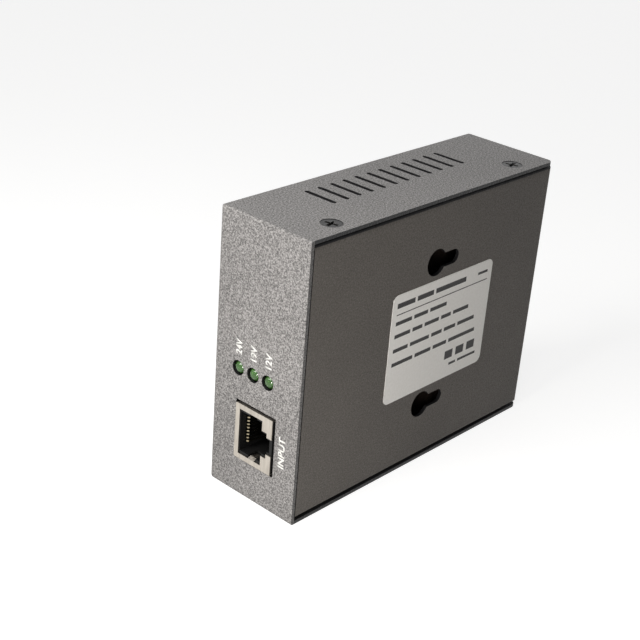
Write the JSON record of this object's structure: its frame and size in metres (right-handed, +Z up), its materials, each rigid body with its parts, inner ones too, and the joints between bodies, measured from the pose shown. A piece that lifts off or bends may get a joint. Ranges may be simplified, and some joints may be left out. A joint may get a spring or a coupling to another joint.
{
  "type": "poe splitter",
  "caption": "Slim folded-metal box with a network jack at each end, a power output jack, a voltage slide switch, indicator lamps, side vents and keyholes for hanging it.",
  "frame": {"origin": "middle of the long side wall that the box stands on", "axes": "+Z up across the box's width, +Y from the power input end to the data end, +X from the top plate to the labelled bottom plate"},
  "size_m": [0.0319, 0.1023, 0.08],
  "materials": {
    "powder_coat": "fine textured powder coat, graphite grey",
    "black_steel": "black oxide",
    "plated_steel": "zinc plated",
    "board_laminate": "green solder mask",
    "label_film": "off-white film",
    "tinplate": "tin plated, satin",
    "black_nylon": "moulded, fine grain",
    "gold_plate": "gold flashed",
    "nickel_plate": "nickel plated",
    "tinned_wire": "tinned",
    "lamp_lens": "green tinted, diffused",
    "moulded_epoxy": "moulded epoxy",
    "capacitor_sleeve": "shrunk sleeve",
    "ferrite": "sintered, dark grey",
    "iron_powder": "painted core",
    "copper_wire": "enamelled copper",
    "bare_aluminium": "extruded",
    "winding_tape": "polyester tape",
    "ceramic_chips": "ceramic"
  },
  "bodies": {
    "case": {"cover": "powder_coat", "base": "powder_coat", "cover_screws": "black_steel", "board_posts": "plated_steel", "board_screws": "plated_steel", "circuit_board": "board_laminate", "rating_label": "label_film", "power_jack_shield": "tinplate", "power_jack_insert": "black_nylon", "power_jack_contacts": "gold_plate", "data_jack_shield": "tinplate", "data_jack_insert": "black_nylon", "data_jack_contacts": "gold_plate", "outlet_body": "black_nylon", "outlet_pin": "nickel_plate", "outlet_leaf": "nickel_plate", "switch_frame": "tinplate", "switch_base": "black_nylon", "switch_terminals": "tinned_wire", "lamp_12v": "lamp_lens", "lamp_19v": "lamp_lens", "lamp_24v": "lamp_lens", "lamp_holder": "black_nylon", "lamp_leads": "tinned_wire", "data_transformer": "moulded_epoxy", "bridge_rectifiers": "moulded_epoxy", "input_capacitors": "capacitor_sleeve", "output_capacitors": "capacitor_sleeve", "input_choke": "ferrite", "inductor_ring": "iron_powder", "inductor_coil": "copper_wire", "heat_sink": "bare_aluminium", "power_transistors": "moulded_epoxy", "transistor_screws": "plated_steel", "transformer_core": "ferrite", "transformer_bobbin": "black_nylon", "transformer_winding": "winding_tape", "transformer_pins": "tinned_wire", "interface_chip": "moulded_epoxy", "controller_chip": "moulded_epoxy", "optocoupler": "moulded_epoxy", "small_parts": "ceramic_chips"},
    "selector": {"switch_knob": "black_nylon", "switch_wiper": "nickel_plate"}
  },
  "joints": [
    {"name": "switch_slide", "type": "slide", "parent": "case", "child": "selector", "axis": [0, 0, -1], "range_m": [0, 0.006]}
  ]
}
